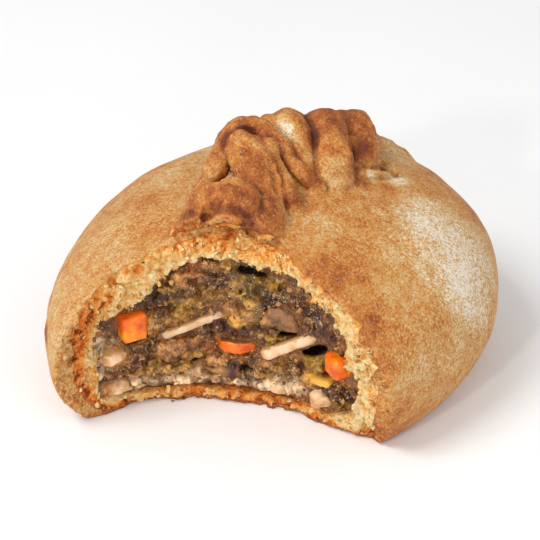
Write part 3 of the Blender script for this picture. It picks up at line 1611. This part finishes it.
MORSELS = (
    Morsel("carrot_left", "carrot", CARROT, 1, 0.03, 0.1),
    Morsel("carrot_middle", "carrot", CARROT, 4, 0.15, 0.6),
    Morsel("carrot_right", "carrot", CARROT, 3, 0.10, 0.1),
    Morsel("swede_strip", "swede", SWEDE, 4, 0.15, 0.3),
    Morsel("potato_slice_left", "potato", POTATO, 4, 0.12, 1.0),
    Morsel("potato_slice_right", "potato", POTATO, 4, 0.12, 1.0),
    Morsel("beef_upper", "beef", BEEF, 8, 0.5, 0.6),
    Morsel("beef_lower", "beef", BEEF, 8, 0.4, 0.6),
    Morsel("potato_wall", "potato", POTATO, 8, 0.4, 0.6),
    Morsel("potato_lower_left", "potato", POTATO, 8, 0.5, 0.5),
    Morsel("potato_lower_middle", "potato", POTATO, 6, 0.3, 0.0),
    Morsel("potato_lower_right", "potato", POTATO, 8, 0.4, 0.2),
    Morsel("potato_corner", "potato", POTATO, 8, 0.4, 0.0),
)


# ---------------------------------------------------------------- scattered grains


@dataclass(frozen=True)
class Scatter:
    """Small irregular grains strewn over a surface where its "where" attribute is high.

    Sizes are half sizes in millimetres, the thickest share is what a grain's shortest side
    keeps of its length, and the density is in grains for each square millimetre.
    """

    name: str
    slot: str
    finish: MorselFinish
    density: float
    small: float
    large: float
    flat: float
    ragged: float
    seed: int
    facets: int = 2

    def _tree(self) -> bpy.types.NodeTree:
        """The node tree that strews the grains."""
        tree = bpy.data.node_groups.new(self.name, "GeometryNodeTree")
        face = tree.interface
        face.new_socket("Surface", in_out="INPUT", socket_type="NodeSocketGeometry")
        for label in ("Density", "Small", "Large", "Flat", "Ragged"):
            face.new_socket(label, in_out="INPUT", socket_type="NodeSocketFloat")
        face.new_socket("Seed", in_out="INPUT", socket_type="NodeSocketInt")
        face.new_socket("Finish", in_out="INPUT", socket_type="NodeSocketMaterial")
        face.new_socket("Grains", in_out="OUTPUT", socket_type="NodeSocketGeometry")
        g = Graph(tree)
        source = tree.nodes.new("NodeGroupInput")
        given = {socket.name: Value(g, socket) for socket in source.outputs if socket.name}
        where = g.node("GeometryNodeInputNamedAttribute", {"data_type": "FLOAT"}, "where")
        dense = where * given["Density"]
        points = g.node(
            "GeometryNodeDistributePointsOnFaces",
            {"distribute_method": "RANDOM"},
            Mesh=given["Surface"],
            Density=dense,
            Seed=given["Seed"],
        )
        number = {"data_type": "FLOAT"}
        tone = g.node("FunctionNodeRandomValue", number, Min=0.0, Max=1.0, Seed=given["Seed"] + 1)
        store = {"data_type": "FLOAT", "domain": "POINT"}
        toned = g.node("GeometryNodeStoreNamedAttribute", store, points, Name="tone", Value=tone)
        spread = g.node("FunctionNodeRandomValue", number, Min=0.0, Max=1.0, Seed=given["Seed"] + 2)
        size = given["Small"] + (given["Large"] - given["Small"]) * spread * spread
        squeeze = g.node(
            "FunctionNodeRandomValue", number, Min=given["Flat"], Max=1.0, Seed=given["Seed"] + 3
        )
        sides = g.node("ShaderNodeCombineXYZ", {}, size, size * squeeze, size * given["Flat"])
        turn = g.node(
            "FunctionNodeRandomValue",
            {"data_type": "FLOAT_VECTOR"},
            Min=(0.0, 0.0, 0.0),
            Max=(math.tau, math.tau, math.tau),
            Seed=given["Seed"] + 4,
        )
        ball = g.node("GeometryNodeMeshIcoSphere", {}, Radius=1.0, Subdivisions=self.facets)
        strewn = g.node(
            "GeometryNodeInstanceOnPoints",
            {},
            Points=toned,
            Instance=ball,
            Rotation=turn,
            Scale=sides,
        )
        real = g.node("GeometryNodeRealizeInstances", {}, strewn)
        place = g.node("GeometryNodeInputPosition", {})
        jagged = g.node(
            "ShaderNodeTexNoise",
            {"noise_dimensions": "3D"},
            Vector=place,
            Scale=1 / (self.large * 0.9 * MM),
            output="Color",
        )
        centred = g.node("ShaderNodeVectorMath", {"operation": "SUBTRACT"}, jagged, (0.5, 0.5, 0.5))
        offset = g.node(
            "ShaderNodeVectorMath", {"operation": "SCALE"}, centred, Scale=given["Ragged"]
        )
        moved = g.node("GeometryNodeSetPosition", {}, Geometry=real, Offset=offset)
        done = g.node("GeometryNodeSetMaterial", {}, Geometry=moved, Material=given["Finish"])
        sink = tree.nodes.new("NodeGroupOutput")
        g.feed(sink.inputs["Grains"], done)
        return tree

    def build(self, surface: bpy.types.Mesh, where: Array, finish: bpy.types.Material) -> None:
        """Strews the grains.

        Args:
            surface: The mesh that they lie on.
            where: For each of its points how thickly they lie, from 0 to 1.
            finish: Their material.
        """
        ground = surface.copy()
        put_attribute(ground, "where", where)
        holder = bpy.data.objects.new("strewing", ground)
        bpy.context.scene.collection.objects.link(holder)
        step = holder.modifiers.new("strew", "NODES")
        step.node_group = self._tree()
        values = {
            "Density": self.density / MM**2,
            "Small": self.small * MM,
            "Large": self.large * MM,
            "Flat": self.flat,
            "Ragged": self.ragged * MM,
            "Seed": self.seed,
            "Finish": finish,
        }
        for item in step.node_group.interface.items_tree:
            if item.in_out == "INPUT" and item.name in values:
                step[item.identifier] = values[item.name]
        mesh = baked(holder, self.name)
        bpy.data.meshes.remove(ground)
        mesh.shade_smooth()
        add_piece(self.name, mesh, finish, self.slot, [])


GRAINS = Scatter("mince_grains", "filling", GRAIN, 0.25, 0.35, 1.0, 0.5, 2.0, 3)
BEADS = Scatter("fat_beads", "filling", FAT, 0.5, 0.09, 0.20, 0.7, 0.2, 6, facets=1)
SPECKS = Scatter("pepper_specks", "filling", PEPPER, 0.10, 0.12, 0.28, 0.7, 0.1, 5, facets=1)
FLAKES = Scatter("crumb_flakes", "pastry", CRUMB, 0.9, 0.15, 0.9, 0.35, 2.2, 7)


# ---------------------------------------------------------------- studio


@dataclass(frozen=True)
class Studio:
    """A pale table top, soft light and the camera, in metres.

    Each light has its name, its place from the pasty's middle, its size and its power.
    """

    azimuth: float = 36.0
    elevation: float = 32.0
    distance: float = 0.5
    lens: float = 144.3
    aim_height: float = 0.025
    aim_right: float = 0.00037
    aim_up: float = 0.00016
    sensor: float = 36.0
    sky_strength: float = 0.58
    table_half: float = 3.0
    table_drop: float = 0.0001
    lights: tuple = (
        ("key", (-0.25, -0.50, 0.80), 0.40, 5.1),
        ("fill", (0.75, -0.15, 0.60), 0.8, 2.0),
        ("spark", (0.12, -0.80, 0.45), 0.06, 1.6),
    )

    def build(self, middle: Vector) -> None:
        """Builds the floor, the lights and the camera.

        Args:
            middle: The point of the table under the unbitten pasty's middle.
        """
        self._floor()
        for name, place, size, power in self.lights:
            self._light(name, place, size, power, middle)
        world = bpy.data.worlds.new("studio")
        world.use_nodes = True
        sky = world.node_tree.nodes["Background"]
        sky.inputs["Color"].default_value = (1.0, 1.0, 1.0, 1.0)
        sky.inputs["Strength"].default_value = self.sky_strength
        bpy.context.scene.world = world
        bpy.context.scene.view_settings.view_transform = "Standard"
        self._camera(middle)

    def _floor(self) -> None:
        """Lays the table top."""
        mesh = bpy.data.meshes.new("table_top")
        corners = ((-1, -1), (1, -1), (1, 1), (-1, 1))
        ends = [(x * self.table_half, y * self.table_half, -self.table_drop) for x, y in corners]
        mesh.from_pydata(ends, [], [(0, 1, 2, 3)])
        s = Shader("table_top")
        grain = s.noise(60.0, 3.0, 0.5)
        colour = s.mix(grain, (0.88, 0.88, 0.88), (0.93, 0.93, 0.93))
        s.finish({"Roughness": 0.7}, Base_Color=colour)
        mesh.materials.append(s.material)
        floor = bpy.data.objects.new("table_top", mesh)
        bpy.context.scene.collection.objects.link(floor)

    def _light(self, name: str, place: Point, size: float, power: float, middle: Vector) -> None:
        """Hangs one soft square light that shines on the pasty."""
        lamp = bpy.data.lights.new(name, "AREA")
        lamp.size = size
        lamp.energy = power
        holder = bpy.data.objects.new(name, lamp)
        bpy.context.scene.collection.objects.link(holder)
        holder.location = middle + Vector(place)
        holder.rotation_mode = "QUATERNION"
        holder.rotation_quaternion = Vector(place).to_track_quat("Z", "Y")

    def _camera(self, middle: Vector) -> None:
        """Sets the camera up."""
        turn = math.radians(self.azimuth)
        rise = math.radians(self.elevation)
        level = math.cos(rise)
        back = Vector((math.sin(turn) * level, -math.cos(turn) * level, math.sin(rise)))
        right = Vector((math.cos(turn), math.sin(turn), 0))
        up = back.cross(right)
        aim = middle + Vector((0, 0, self.aim_height)) + right * self.aim_right + up * self.aim_up
        camera = bpy.data.cameras.new("camera")
        camera.lens = self.lens
        camera.sensor_width = self.sensor
        holder = bpy.data.objects.new("camera", camera)
        bpy.context.scene.collection.objects.link(holder)
        holder.location = aim + back * self.distance
        holder.rotation_mode = "QUATERNION"
        holder.rotation_quaternion = (-back).to_track_quat("-Z", "Y")
        bpy.context.scene.camera = holder


def main() -> None:
    """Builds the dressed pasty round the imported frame."""
    logging.basicConfig(level=logging.INFO, format="%(message)s")
    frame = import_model()
    case = Case()
    bite = Bite()
    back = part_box("crust")[1].y / MM
    shift = Vector((0.0, back - case.half_length, 0.0))
    shell = Crust(case, bite, Crimp(), shift, step=Crust.step)
    crust = shell.build(PastryFinish().build())
    inside = Filling(case, bite, shift, step=Filling.step)
    filling = inside.build(PasteFinish().build())
    relief = Lattice(31)
    finishes: dict[MorselFinish, bpy.types.Material] = {}
    for kind in (CARROT, POTATO, SWEDE, BEEF, GRAIN, PEPPER, FAT, CRUMB):
        finishes[kind] = kind.build()
    for morsel in MORSELS:
        morsel.build(frame["nodes"][morsel.node], relief, finishes[morsel.finish])
    front = read_attribute(filling.data, "front")
    spots = places_of(filling.data)
    clumps = ramp(relief.noise(spots, 5.0, 2), -0.5, 0.4)
    GRAINS.build(filling.data, front * clumps, finishes[GRAIN])
    BEADS.build(filling.data, front * clumps**2, finishes[FAT])
    SPECKS.build(filling.data, front, finishes[PEPPER])
    loose = read_attribute(crust.data, "loose")
    spots = places_of(crust.data)
    drifts = ramp(relief.noise(spots, 4.0, 2), -0.3, 0.5)
    FLAKES.build(crust.data, loose * drifts, finishes[CRUMB])
    Studio().build(shift * MM)


if __name__ == "__main__":
    main()
